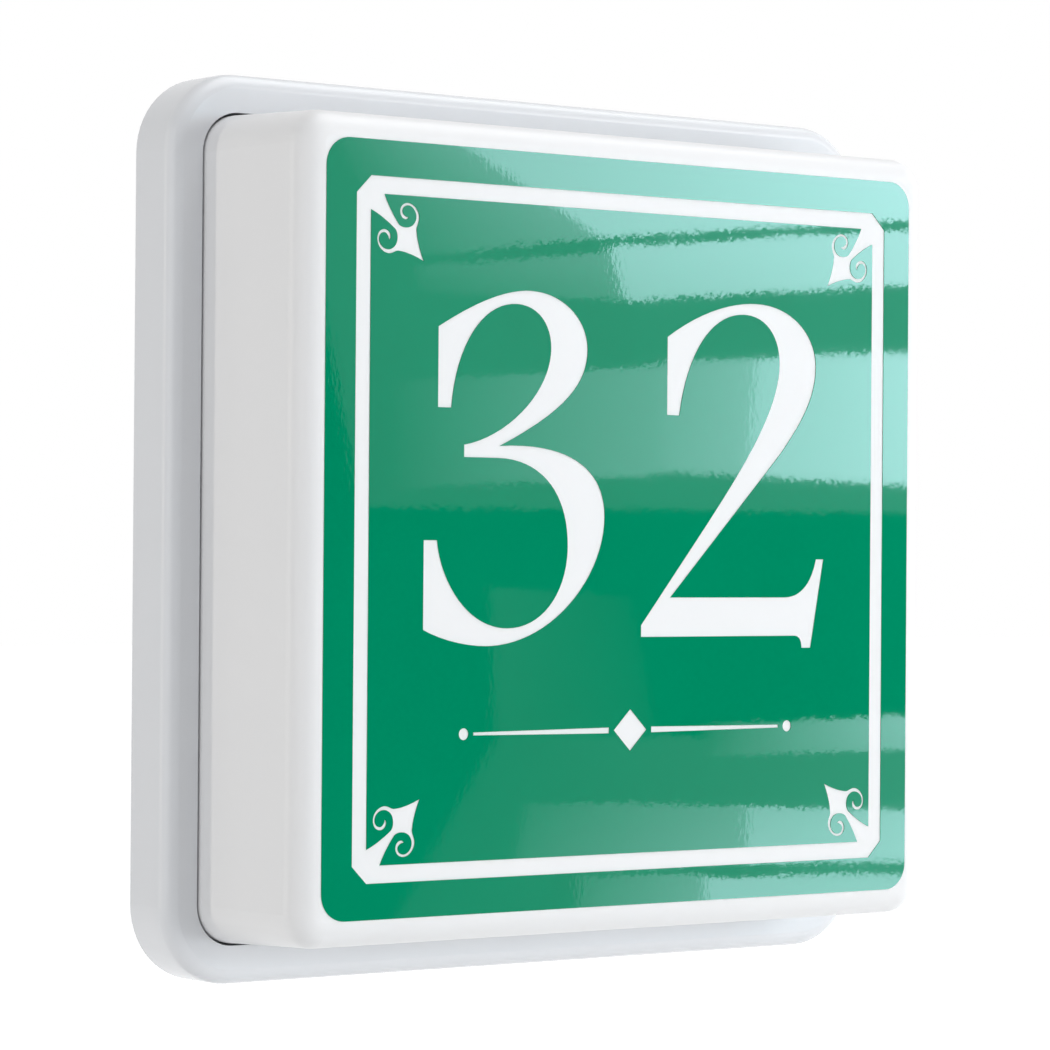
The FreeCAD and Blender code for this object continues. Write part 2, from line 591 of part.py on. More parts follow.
def gear_tray():
    """The white steel tray with a turned edge that carries the lamp bars."""
    body = new_body("gear_tray")
    outline = wall_sketch(body, TRAY_FRONT + " - Dim.tray_flange")
    add_rounded_rectangle(outline, "0", "0", "Dim.tray_side", "Dim.tray_side", "Dim.tray_corner")
    pan = pad(body, outline, "Dim.tray_flange")
    fillet(body, pan, front_edges(pan.Shape, TRAY_FRONT), "2 * Dim.tray_sheet")
    hollow = wall_sketch(body, TRAY_FRONT + " - Dim.tray_flange")
    inside = "(Dim.tray_side - 2 * Dim.tray_sheet)"
    inner_corner = "(Dim.tray_corner - Dim.tray_sheet)"
    add_rounded_rectangle(hollow, "0", "0", inside, inside, inner_corner)
    pocket(body, hollow, "Dim.tray_flange - Dim.tray_sheet", from_back=True)
    holes = wall_sketch(body, TRAY_FRONT)
    for side_x in ("", "-"):
        for side_y in ("", "-"):
            add_circle(holes, side_x + BOSS_ACROSS, side_y + BOSS_ACROSS, "Dim.screw_hole")
            across = side_x + "Dim.fixing_width / 2"
            up = side_y + "Dim.fixing_height / 2"
            add_circle(holes, across, up, "Dim.access_hole")
        for number in range(4):
            across = side_x + "Dim.bar_screw_spacing / 2"
            add_circle(holes, across, bar_height(number), PILOT_HOLE)
    add_circle(holes, "Dim.connector_across", "Dim.pass_up", "Dim.pass_hole")
    add_circle(holes, EARTH_ACROSS, "Dim.lug_up", PILOT_HOLE)
    corner = "Dim.tray_corner"
    add_rounded_rectangle(holes, "0", "-Dim.window_low", "Dim.window_width", "Dim.window_height", corner)
    pocket(body, holes, "Dim.tray_sheet")
    return body


def screw_group(name, depth, length, places):
    """Pan head screws with a cross recess, heads on a face at one depth."""
    body = new_body(name)
    heads = wall_sketch(body, depth)
    for across, up in places:
        add_circle(heads, across, up, "Dim.screw_head")
    head_pad = pad(body, heads, "Dim.screw_head_height")
    rims = front_edges(head_pad.Shape, depth + " + Dim.screw_head_height")
    fillet(body, head_pad, rims, "Dim.screw_head_height / 2")
    shanks = wall_sketch(body, depth + " - " + length)
    for across, up in places:
        add_circle(shanks, across, up, "Dim.screw_shank")
    pad(body, shanks, length)
    for width, height in (("Dim.cross_length", "Dim.cross_width"), ("Dim.cross_width", "Dim.cross_length")):
        recess = wall_sketch(body, depth + " + Dim.screw_head_height")
        for across, up in places:
            add_rectangle(recess, across, up, width, height)
        pocket(body, recess, "Dim.cross_depth")
    return body


# ---------------------------------------------------------------- lamp bars

def bar_height(number):
    """The middle of a bar, counted from the top, above the middle of the sign."""
    return "%s * Dim.bar_spacing" % (1.5 - number)


def lamp_bar(number):
    """One white circuit board strip with its screw holes."""
    body = new_body("lamp_bar_%d" % (number + 1))
    outline = wall_sketch(body, TRAY_FRONT)
    up = bar_height(number)
    add_rectangle(outline, "0", up, "Dim.bar_length", "Dim.bar_width")
    for side in ("", "-"):
        add_circle(outline, side + "Dim.bar_screw_spacing / 2", up, "Dim.screw_hole")
    pad(body, outline, "Dim.bar_board")
    return body


def lamp_chips(number):
    """The row of lamp chips on one bar."""
    body = new_body("lamp_chips_%d" % (number + 1))
    outline = wall_sketch(body, BAR_FRONT)
    left = "-(Dim.lamp_count - 1) / 2 * Dim.lamp_spacing"
    add_rectangle(outline, left, bar_height(number), "Dim.chip_length", "Dim.chip_width")
    pad(body, outline, "Dim.chip_height")
    row_copies(body, outline, "H_Axis", "Dim.lamp_spacing", "Dim.lamp_count")
    return body


def lamp_lenses(number):
    """The row of domed lenses over the chips of one bar."""
    body = new_body("lamp_lenses_%d" % (number + 1))
    left = "-(Dim.lamp_count - 1) / 2 * Dim.lamp_spacing"
    up = bar_height(number)
    outline = wall_sketch(body, BAR_FRONT)
    add_circle(outline, left, up, "Dim.lens_width")
    dome = pad(body, outline, "Dim.lens_height")
    fillet(body, dome, front_edges(dome.Shape, BAR_FRONT + " + Dim.lens_height"), "Dim.lens_rounding")
    hollow = wall_sketch(body, BAR_FRONT)
    add_circle(hollow, left, up, "Dim.lens_bore")
    pocket(body, hollow, "Dim.lens_bore_height", from_back=True)
    row_copies(body, outline, "H_Axis", "Dim.lamp_spacing", "Dim.lamp_count")
    return body


def wire_connectors():
    """The two wire connectors of each bar."""
    body = new_body("wire_connectors")
    outline = wall_sketch(body, BAR_FRONT)
    for number in range(4):
        for side in ("", "-"):
            across = side + "Dim.connector_across"
            add_rectangle(outline, across, bar_height(number), "Dim.connector_size", "Dim.connector_size")
    pad(body, outline, "Dim.connector_height")
    return body


# ---------------------------------------------------------------- power supply and terminals

def power_supply():
    """The closed case of the power supply with two screw ears and its wire holes."""
    body = new_body("power_supply")
    outline = wall_sketch(body, "Dim.floor_thickness")
    add_rounded_rectangle(outline, "0", "Dim.driver_up", "Dim.driver_length", "Dim.driver_width",
                          "Dim.driver_corner")
    case = pad(body, outline, "Dim.driver_height")
    top = front_edges(case.Shape, "Dim.floor_thickness + Dim.driver_height")
    fillet(body, case, top, "Dim.driver_corner / 3")
    ears = wall_sketch(body, EAR_BACK)
    whole = "(Dim.driver_length + 2 * Dim.driver_ear)"
    add_rounded_rectangle(ears, "0", "Dim.driver_up", whole, "Dim.driver_ear_width", "Dim.driver_corner")
    pad(body, ears, "Dim.driver_ear_height")
    holes = wall_sketch(body, EAR_FRONT)
    for side in ("", "-"):
        add_circle(holes, side + EAR_SCREW, "Dim.driver_up", "Dim.screw_hole")
    pocket(body, holes, "Dim.driver_ear_height")
    drill_wire_holes(body, "from_below", [(across, WIRE_DEPTH) for across in MAINS_ENTRY],
                     "Dim.driver_up - Dim.driver_width / 2")
    drill_wire_holes(body, "from_right", [("(" + LAMP_EXIT_UP + " + %s * Dim.wire_pair)" % step, WIRE_DEPTH)
                                  for step in (0, 1)], "Dim.driver_length / 2")
    return body


def drill_wire_holes(body, way, places, face):
    """Blind holes into a side face of a piece, drilled from below, from above or from the right."""
    before = body.Shape.Volume
    sketch = body.newObject("Sketcher::SketchObject", body.Name + "_holes")
    role = "YZ_Plane" if way == "from_right" else "XY_Plane"
    plane = [item for item in body.Origin.OriginFeatures if item.Role == role][0]
    sketch.AttachmentSupport = [(plane, "")]
    sketch.MapMode = "FlatFace"
    sketch.setExpression(".AttachmentOffset.Base.z", str(face))
    for along, depth in places:
        if role == "XY_Plane":
            add_circle(sketch, along, "-" + depth, "Dim.wire_hole")
        else:
            add_circle(sketch, "-" + depth, along, "Dim.wire_hole")
    cut = body.newObject("PartDesign::Pocket", body.Name + "_holes_cut")
    cut.Profile = sketch
    cut.Reversed = way == "from_below"
    cut.setExpression("Length", "Dim.wire_hole_depth")
    document.recompute()
    if body.Shape.Volume > before - 1e-6:
        raise RuntimeError("wire holes of %s cut nothing" % body.Label)


def pole_across(number):
    """The middle of a pole, counted from the left."""
    return "(-Dim.terminal_across + %d * Dim.pole_pitch)" % (number - 1)


def terminal_block():
    """The three pole block: one open slot for each lever, wire holes at both ends."""
    body = new_body("terminal_block")
    outline = wall_sketch(body, "Dim.floor_thickness")
    add_rectangle(outline, "-Dim.terminal_across", "-Dim.window_low", TERMINAL_WIDTH, "Dim.terminal_length")
    pad(body, outline, "Dim.terminal_height")
    slots = wall_sketch(body, TERMINAL_FRONT)
    slot_top = "(Dim.lever_pivot_up + Dim.lever_hub / 2 + Dim.fit_clearance)"
    slot_length = "(" + slot_top + " + Dim.terminal_length / 2)"
    slot_middle = "(-Dim.window_low + (" + slot_top + " - Dim.terminal_length / 2) / 2)"
    for number in range(3):
        width = "(Dim.pole_pitch - Dim.pole_wall)"
        add_rectangle(slots, pole_across(number), slot_middle, width, slot_length)
    pocket(body, slots, "Dim.lever_slot_depth")
    poles = [(pole_across(number), WIRE_DEPTH) for number in range(3)]
    low_end = "-Dim.window_low - Dim.terminal_length / 2"
    high_end = "-Dim.window_low + Dim.terminal_length / 2"
    drill_wire_holes(body, "from_below", poles, low_end)
    drill_wire_holes(body, "from_above", poles, high_end)
    pins = body.newObject("Sketcher::SketchObject", "terminal_pin_holes")
    plane = [item for item in body.Origin.OriginFeatures if item.Role == "YZ_Plane"][0]
    pins.AttachmentSupport = [(plane, "")]
    pins.MapMode = "FlatFace"
    inset = "Dim.pole_wall - Dim.lever_pin_length + Dim.side_clearance"
    length = "(" + TERMINAL_WIDTH + " - 2 * (" + inset + " - 2 * Dim.side_clearance))"
    right_end = "(-Dim.terminal_across + " + length + " / 2)"
    pins.setExpression(".AttachmentOffset.Base.z", right_end)
    pivot_up = "(-Dim.window_low + Dim.lever_pivot_up)"
    add_circle(pins, "-" + LEVER_PIVOT_DEPTH, pivot_up, "Dim.lever_pin + 2 * Dim.pin_clearance")
    bore = body.newObject("PartDesign::Pocket", "terminal_pin_bore")
    bore.Profile = pins
    bore.setExpression("Length", length)
    document.recompute()
    return body


def terminal_lever(number, name):
    """One wire lever: a hub on a pivot pin and an arm that lies down in its slot."""
    body = new_body(name)
    pivot_up = "(-Dim.window_low + Dim.lever_pivot_up)"
    plane = [item for item in body.Origin.OriginFeatures if item.Role == "YZ_Plane"][0]

    def side_sketch():
        sketch = body.newObject("Sketcher::SketchObject", name + "_side")
        sketch.AttachmentSupport = [(plane, "")]
        sketch.MapMode = "FlatFace"
        sketch.setExpression(".AttachmentOffset.Base.z", pole_across(number))
        return sketch

    def side_pad(sketch, width):
        feature = body.newObject("PartDesign::Pad", name + "_width")
        feature.Profile = sketch
        feature.SideType = "Symmetric"
        feature.setExpression("Length", width)
        document.recompute()

    hub = side_sketch()
    add_circle(hub, "-" + LEVER_PIVOT_DEPTH, pivot_up, "Dim.lever_hub")
    side_pad(hub, LEVER_WIDTH)
    arm = side_sketch()
    arm_front = "(-" + LEVER_PIVOT_DEPTH + " - Dim.lever_hub / 2)"
    arm_length = "(Dim.terminal_length / 2 + Dim.lever_pivot_up + Dim.lever_tip)"
    add_rectangle(arm, arm_front + " + Dim.lever_thickness / 2", pivot_up + " - " + arm_length + " / 2",
                  "Dim.lever_thickness", arm_length)
    side_pad(arm, LEVER_WIDTH)
    pin = side_sketch()
    add_circle(pin, "-" + LEVER_PIVOT_DEPTH, pivot_up, "Dim.lever_pin")
    side_pad(pin, "Dim.pole_pitch - Dim.pole_wall + 2 * Dim.lever_pin_length - 2 * Dim.side_clearance")
    return body


# ---------------------------------------------------------------- wires

def wire_route(points):
    """Straight runs through the points, joined by tangent arcs as large as the runs allow."""
    edges = []
    start = points[0]
    radii = []
    for index in range(1, len(points) - 1):
        before = points[index - 1].sub(points[index])
        after = points[index + 1].sub(points[index])
        half_turn = (math.pi - before.getAngle(after)) / 2
        setback = 0.45 * min(before.Length, after.Length)
        radii.append(setback / math.tan(half_turn))
        entry = points[index].add(before.normalize().multiply(setback))
        exit_point = points[index].add(after.normalize().multiply(setback))
        inward = entry.add(exit_point).multiply(0.5).sub(points[index])
        reach = radii[-1] / math.cos(half_turn) - radii[-1]
        middle = points[index].add(inward.normalize().multiply(reach))
        edges.append(Part.LineSegment(start, entry).toShape())
        edges.append(Part.Arc(entry, middle, exit_point).toShape())
        start = exit_point
    edges.append(Part.LineSegment(start, points[-1]).toShape())
    return Part.Wire(edges), radii


def wire_solid(label, points, diameter):
    """A round wire along its route; its volume is compared with section times length."""
    route, radii = wire_route(points)
    along = points[1].sub(points[0])
    ring = Part.Wire([Part.makeCircle(diameter / 2, points[0], along)])
    solid = route.makePipeShell([ring], True, False)
    expected = math.pi * diameter ** 2 / 4 * route.Length
    print(label, "bend radii", [round(radius, 1) for radius in radii],
          "volume ratio", round(solid.Volume / expected, 4))
    if abs(solid.Volume / expected - 1) > 0.02:
        raise RuntimeError("the wire %s has a wrong volume" % label)
    return solid


def mains_wire(name, pole, entry):
    """From a pole of the terminal block up to the power supply."""
    diameter = size("Dim.mains_wire")
    depth = size(WIRE_DEPTH)
    start_x = size(pole_across(pole))
    end_x = size(MAINS_ENTRY[entry])
    block_top = size("-Dim.window_low + Dim.terminal_length / 2")
    case_foot = size("Dim.driver_up - Dim.driver_width / 2")
    hole = size("Dim.wire_hole_depth")
    rise = (case_foot - block_top) / 3
    points = [Vector(start_x, block_top - hole, depth), Vector(start_x, block_top + rise, depth),
              Vector(end_x, case_foot - rise, depth), Vector(end_x, case_foot + hole, depth)]
    return coded_piece(name, wire_solid(name, points, diameter))


def earth_wire():
    """From the earth pole up and forward to the lug under the tray."""
    diameter = size("Dim.mains_wire")
    across = size(EARTH_ACROSS)
    block_top = size("-Dim.window_low + Dim.terminal_length / 2")
    lug_foot = size("Dim.lug_up - Dim.lug_side / 2 - Dim.lug_barrel_length")
    low = size(WIRE_DEPTH)
    high = size(TRAY_BACK + " - Dim.lug_barrel / 2")
    third = (lug_foot - block_top) / 3
    inside_block = block_top - size("Dim.wire_hole_depth")
    points = [Vector(across, inside_block, low), Vector(across, block_top + third, low),
              Vector(across, lug_foot - third, high), Vector(across, lug_foot, high)]
    return coded_piece("earth_wire", wire_solid("earth_wire", points, diameter))


def earth_lug():
    """The brass lug under the tray: a flat plate with a hole and a barrel for the wire."""
    body = new_body("earth_lug")
    plate = wall_sketch(body, TRAY_BACK + " - Dim.lug_sheet")
    add_rectangle(plate, EARTH_ACROSS, "Dim.lug_up", "Dim.lug_side", "Dim.lug_side")
    add_circle(plate, EARTH_ACROSS, "Dim.lug_up", "Dim.screw_hole")
    pad(body, plate, "Dim.lug_sheet")
    sketch = body.newObject("Sketcher::SketchObject", "lug_barrel_outline")
    plane = [item for item in body.Origin.OriginFeatures if item.Role == "XY_Plane"][0]
    sketch.AttachmentSupport = [(plane, "")]
    sketch.MapMode = "FlatFace"
    foot = "Dim.lug_up - Dim.lug_side / 2 - Dim.lug_barrel_length"
    sketch.setExpression(".AttachmentOffset.Base.z", foot)
    add_circle(sketch, EARTH_ACROSS, "-(" + TRAY_BACK + " - Dim.lug_barrel / 2)", "Dim.lug_barrel")
    pad(body, sketch, "Dim.lug_barrel_length + Dim.lug_sheet")
    return body


def lamp_supply_wire(name, order):
    """From the power supply forward through the tray's hole to the first bar."""
    diameter = size("Dim.lamp_wire")
    across = size("Dim.connector_across") + (order - 0.5) * size("Dim.wire_pair")
    exit_up = size(LAMP_EXIT_UP) + (1 - order) * size("Dim.wire_pair")
    low = size(WIRE_DEPTH)
    high = size(LAMP_WIRE_DEPTH)
    start_x = size("Dim.driver_length / 2 - Dim.wire_hole_depth")
    pass_up = size("Dim.pass_up")
    connector_foot = size("%s - Dim.connector_size / 2" % bar_height(0))
    points = [Vector(start_x, exit_up, low), Vector(across, exit_up, low),
              Vector(across, pass_up, high), Vector(across, connector_foot, high)]
    return coded_piece(name, wire_solid(name, points, diameter))


def lamp_link_wires():
    """The pairs of wires that link each bar to the next, on the left and right in turn."""
    diameter = size("Dim.lamp_wire")
    depth = size(LAMP_WIRE_DEPTH)
    solids = []
    for number in range(3):
        side = -1 if number % 2 == 0 else 1
        for order in (-0.5, 0.5):
            across = side * size("Dim.connector_across") + order * size("Dim.wire_pair")
            top = size("%s - Dim.connector_size / 2" % bar_height(number))
            foot = size("%s + Dim.connector_size / 2" % bar_height(number + 1))
            quarter = (top - foot) / 4
            bow_across = across - side * size("Dim.wire_pair")
            points = [Vector(across, top, depth), Vector(across, top - quarter, depth),
                      Vector(bow_across, top - 2 * quarter, depth),
                      Vector(across, foot + quarter, depth), Vector(across, foot, depth)]
            solids.append(wire_solid("lamp_link_wires", points, diameter))
    return coded_piece("lamp_link_wires", Part.makeCompound(solids))


# ---------------------------------------------------------------- cover

def opal_cover():
    """The deep opal cover: a straight skirt in the well, drafted sides and a rounded front."""
    body = new_body("opal_cover")
    skirt = wall_sketch(body, SKIRT_REAR)
    add_rounded_rectangle(skirt, "0", "0", "Dim.cover_side", "Dim.cover_side", "Dim.cover_corner")
    pad(body, skirt, WELL_EDGE_DEPTH + " - " + SKIRT_REAR)
    sides = wall_sketch(body, WELL_EDGE_DEPTH)
    add_rounded_rectangle(sides, "0", "0", "Dim.cover_side", "Dim.cover_side", "Dim.cover_corner")
    box = pad(body, sides, "Dim.sign_depth - " + WELL_EDGE_DEPTH, taper="-Dim.cover_draft")
    fillet(body, box, front_edges(box.Shape, "Dim.sign_depth"), "Dim.cover_rounding")
    inner_corner = "(Dim.cover_corner - Dim.cover_wall)"
    skirt_hollow = wall_sketch(body, SKIRT_REAR)
    add_rounded_rectangle(skirt_hollow, "0", "0", SKIRT_INSIDE, SKIRT_INSIDE, inner_corner)
    pocket(body, skirt_hollow, WELL_EDGE_DEPTH + " - " + SKIRT_REAR, from_back=True)
    hollow = wall_sketch(body, WELL_EDGE_DEPTH)
    add_rounded_rectangle(hollow, "0", "0", SKIRT_INSIDE, SKIRT_INSIDE, inner_corner)
    inside_depth = "Dim.sign_depth - Dim.cover_wall"
    room_length = inside_depth + " - " + WELL_EDGE_DEPTH
    room = pocket(body, hollow, room_length, from_back=True, taper="-Dim.cover_draft")
    corners = front_edges(room.Shape, inside_depth)
    fillet(body, room, corners, "Dim.cover_rounding - Dim.cover_wall")
    return body


# ---------------------------------------------------------------- front film

# Outlines are lists of steps from a start point: a point is a straight line to it, and three
# points are a curve that leaves towards the first, arrives from the second and ends at the third.
# The digits are drawn 107.6 mm high on a foot line, from the sign's middle across.

DIGIT_DRAWN_HEIGHT = 107.6

THREE = ((-74.3, 95.5), (
    ((-66.0, 100.2), (-52.0, 107.6), (-40.0, 107.6)),
    ((-27.0, 107.6), (-17.7, 99.7), (-17.7, 90.5)),
    ((-17.7, 79.7), (-27.0, 71.2), (-51.2, 60.3)),
    ((-26.5, 61.9), (-10.6, 55.2), (-10.6, 39.3)),
    ((-10.6, 20.7), (-31.0, 0.0), (-55.8, 0.0)),
    ((-64.0, 0.0), (-73.0, 2.1), (-79.2, 5.0)),
    (-79.2, 31.7),
    (-74.2, 31.7),
    ((-72.8, 19.2), (-62.5, 5.3), (-47.9, 5.3)),
    ((-34.0, 5.3), (-25.0, 16.7), (-25.0, 30.2)),
    ((-25.0, 47.2), (-36.0, 56.7), (-52.0, 56.7)),
    (-64.5, 56.7),
    (-64.5, 60.4),
    ((-49.0, 62.9), (-31.9, 76.7), (-31.9, 90.5)),
    ((-31.9, 98.2), (-37.5, 103.4), (-45.2, 103.4)),
    ((-58.0, 103.4), (-67.8, 89.7), (-69.3, 71.4)),
    (-74.3, 71.4),
    (-74.3, 95.5),
))

TWO = ((13.8, 95.7), (
    ((24.0, 102.2), (37.0, 107.5), (50.0, 107.5)),
    ((64.5, 107.5), (75.2, 99.2), (75.2, 88.2)),
    ((75.2, 77.7), (68.0, 68.7), (60.0, 59.7)),
    (15.7, 14.6),
    (62.5, 14.6),
    ((69.0, 14.6), (73.8, 18.7), (75.7, 26.8)),
    (79.0, 26.8),
    (73.7, -1.5),
    (69.8, -1.5),
    ((69.8, 1.3), (68.6, 2.4), (66.5, 2.4)),
    (4.0, 2.4),
    (4.0, 6.0),
    (30.0, 37.2),
    ((46.0, 56.7), (59.8, 74.7), (59.8, 88.7)),
    ((59.8, 98.2), (53.5, 103.9), (45.0, 103.9)),
    ((31.0, 103.9), (21.5, 89.7), (18.8, 71.4)),
    (13.8, 71.4),
    (13.8, 95.7),
))

# Half of a corner ornament, from the inner corner of the border: across and down. The other
# half is its mirror about the diagonal. The curls are bands between an outer and an inner curve.

ORNAMENT_DRAWN_SIZE = 19.2

STEM_HALF = ((4.8, 0.0), (
    ((6.0, 3.0), (8.4, 6.6), (10.1, 8.7)),
    ((11.5, 9.9), (14.8, 9.9), (15.9, 7.6)),
    (17.2, 7.6),
    ((17.0, 8.4), (16.4, 9.2), (16.5, 10.0)),
    ((16.7, 13.0), (17.9, 16.5), (19.2, 19.2)),
))

CURL_OUTSIDE = ((17.2, 7.6), (17.4, 6.0), (16.2, 3.5), (13.5, 2.2), (11.0, 3.1),
                (10.4, 5.0), (11.3, 6.7), (12.8, 7.0), (13.5, 6.4))
CURL_INSIDE = ((13.5, 6.4), (12.3, 6.1), (11.3, 4.9), (11.8, 3.5), (13.4, 2.9),
               (15.4, 3.9), (16.3, 6.0), (15.9, 7.6))


def drawn_edges(start, steps):
    """The edges of an outline of lines and curves."""
    edges = []
    here = Vector(*start, 0)
    for step in steps:
        if isinstance(step[0], tuple):
            poles = [here] + [Vector(*point, 0) for point in step]
            curve = Part.BezierCurve()
            curve.setPoles(poles)
            edges.append(curve.toShape())
            here = poles[-1]
        else:
            there = Vector(*step, 0)
            edges.append(Part.LineSegment(here, there).toShape())
            here = there
    return edges


def digit_face(digit):
    """One digit at its real size and place on the front."""
    start, steps = digit
    face = Part.Face(Part.Wire(drawn_edges(start, steps)))
    scale = size("Dim.digit_height") / DIGIT_DRAWN_HEIGHT
    face.scale(scale, Vector(0, 0, 0))
    face.translate(Vector(0, -size("Dim.digit_low"), 0))
    return face


def ornament_face():
    """One corner ornament about the inner corner of the border, across and down."""
    upper = drawn_edges(*STEM_HALF)
    diagonal = Vector(1, -1, 0)
    stem_start = Vector(*STEM_HALF[0], 0)
    lower = [edge.mirror(Vector(0, 0, 0), diagonal) for edge in upper]
    back = size("Dim.border_line") * ORNAMENT_DRAWN_SIZE / size("Dim.ornament_size") / 2
    root = [Vector(stem_start.y, stem_start.x, 0), Vector(-back, stem_start.x, 0), Vector(-back, -back, 0),
            Vector(stem_start.x, -back, 0), stem_start]
    edges = upper + lower
    for index in range(len(root) - 1):
        edges.append(Part.LineSegment(root[index], root[index + 1]).toShape())
    face = Part.Face(Part.Wire(Part.__sortEdges__(edges)))
    outside = Part.BSplineCurve()
    outside.interpolate([Vector(*point, 0) for point in CURL_OUTSIDE])
    inside = Part.BSplineCurve()
    inside.interpolate([Vector(*point, 0) for point in CURL_INSIDE])
    closing = Part.LineSegment(Vector(*CURL_INSIDE[-1], 0), Vector(*CURL_OUTSIDE[0], 0))
    curl = Part.Face(Part.Wire([outside.toShape(), inside.toShape(), closing.toShape()]))
    whole = face.fuse([curl, curl.mirror(Vector(0, 0, 0), diagonal)])
    whole.scale(size("Dim.ornament_size") / ORNAMENT_DRAWN_SIZE, Vector(0, 0, 0))
    return whole


def ornament_faces():
    """The ornament in each corner of the border, pointing to the middle."""
    half = size("Dim.border_side / 2 - Dim.border_line")
    top_left = ornament_face()
    top_left.rotate(Vector(0, 0, 0), Vector(1, 0, 0), 180)
    top_left.translate(Vector(-half, half, 0))
    faces = [top_left]
    faces.append(top_left.mirror(Vector(0, 0, 0), Vector(1, 0, 0)))
    faces += [face.mirror(Vector(0, 0, 0), Vector(0, 1, 0)) for face in faces]
    return faces


def divider_faces():
    """The plain divider under the digits: a lozenge, two tapering bars and two dots."""
    up = -size("Dim.divider_low")
    half = size("Dim.divider_lozenge") / 2
    dot = size("Dim.divider_dot") / 2
    bar = size("Dim.divider_bar")
    lozenge = [Vector(-half, up, 0), Vector(0, up + half, 0), Vector(half, up, 0), Vector(0, up - half, 0)]
    faces = [Part.Face(Part.makePolygon(lozenge + lozenge[:1]))]
    start = half + dot
    for side in (-1, 1):
        taper = [Vector(side * start, up + dot / 2, 0), Vector(side * (start + bar), up + dot / 4, 0),
                 Vector(side * (start + bar), up - dot / 4, 0), Vector(side * start, up - dot / 2, 0)]
        faces.append(Part.Face(Part.makePolygon(taper + taper[:1])))
        centre = Vector(side * (start + bar + 2 * dot), up, 0)
        faces.append(Part.Face(Part.Wire([Part.makeCircle(dot, centre)])))
    return faces


def rounded_square_face(side, radius):
    """A flat square with rounded corners about the middle."""
    half = side / 2
    reach = half - radius
    edges = []
    corners = ((1, 1), (-1, 1), (-1, -1), (1, -1))
    for index, (side_x, side_y) in enumerate(corners):
        centre = Vector(side_x * reach, side_y * reach, 0)
        edges.append(Part.makeCircle(radius, centre, Vector(0, 0, 1), 90 * index, 90 * index + 90))
    for index in range(4):
        start = edges[index].valueAt(edges[index].LastParameter)
        following = edges[(index + 1) % 4]
        end = following.valueAt(following.FirstParameter)
        edges.append(Part.LineSegment(start, end).toShape())
    return Part.Face(Part.Wire(Part.__sortEdges__(edges)))


def cut_corner_square_face(side, chamfer):
    """A flat square with cut corners about the middle."""
    half = side / 2
    reach = half - chamfer
    points = []
    for side_x, side_y, x_first in ((1, 1, False), (-1, 1, True), (-1, -1, False), (1, -1, True)):
        pair = [Vector(side_x * half, side_y * reach, 0), Vector(side_x * reach, side_y * half, 0)]
        points += pair[::-1] if x_first else pair
    return Part.Face(Part.makePolygon(points + points[:1]))


def film_solid(face):
    """Film of its thickness on the front of the cover."""
    face.translate(Vector(0, 0, size("Dim.sign_depth")))
    return face.extrude(Vector(0, 0, size("Dim.film_thickness")))


def film_margin():
    """The green film outside the border line."""
    outer = rounded_square_face(size("Dim.film_side"), size("Dim.film_corner"))
    inner = cut_corner_square_face(size("Dim.border_side"), size("Dim.border_chamfer"))
    return coded_piece("film_margin", film_solid(outer.cut(inner)))


def film_field():
    """The green film inside the border line, cut out at the digits, divider and ornaments."""
    half = size("Dim.border_side / 2 - Dim.border_line")
    corners = [Vector(-half, -half, 0), Vector(half, -half, 0), Vector(half, half, 0), Vector(-half, half, 0)]
    field = Part.Face(Part.makePolygon(corners + corners[:1]))
    shapes = [digit_face(THREE), digit_face(TWO)] + ornament_faces() + divider_faces()
    return coded_piece("film_field", film_solid(field.cut(shapes)))


# ---------------------------------------------------------------- the whole sign

def corner_places(across, up):
    return [(side_x + across, side_y + up) for side_x in ("", "-") for side_y in ("", "-")]


bar_screw_places = []
for bar_number in range(4):
    for bar_side in ("", "-"):
        bar_screw_places.append((bar_side + "Dim.bar_screw_spacing / 2", bar_height(bar_number)))
driver_screw_places = [(EAR_SCREW, "Dim.driver_up"), ("-" + EAR_SCREW, "Dim.driver_up")]

pieces = [
    back_housing(),
    wall_seal(),
    cover_seal(),
    cover_clip("cover_clip_right", 0),
    cover_clip("cover_clip_top", 90),
    cover_clip("cover_clip_left", 180),
    cover_clip("cover_clip_bottom", 270),
    cable_grommet(),
    wall_screw_washers(),
    gear_tray(),
    screw_group("tray_screws", TRAY_FRONT, "Dim.screw_length", corner_places(BOSS_ACROSS, BOSS_ACROSS)),
    screw_group("bar_screws", BAR_FRONT, "Dim.bar_screw_length", bar_screw_places),
    screw_group("power_supply_screws", EAR_FRONT, "Dim.screw_length", driver_screw_places),
    screw_group("earth_screw", TRAY_FRONT, "Dim.bar_screw_length", [(EARTH_ACROSS, "Dim.lug_up")]),
    power_supply(),
    terminal_block(),
    terminal_lever(0, "live_lever"),
    terminal_lever(1, "neutral_lever"),
    terminal_lever(2, "earth_lever"),
    mains_wire("live_wire", 0, 0),
    mains_wire("neutral_wire", 1, 1),
    earth_wire(),
    earth_lug(),
    lamp_supply_wire("lamp_wire_plus", 0),
    lamp_supply_wire("lamp_wire_minus", 1),
    lamp_link_wires(),
    wire_connectors(),
    opal_cover(),
    film_margin(),
    film_field(),
]
for bar_number in range(4):
    pieces.append(lamp_bar(bar_number))
    pieces.append(lamp_chips(bar_number))
    pieces.append(lamp_lenses(bar_number))

document.recompute()
for item in document.Objects:
    if "Invalid" in item.State or "Error" in item.State:
        raise RuntimeError("%s did not build: %s" % (item.Label, item.State))

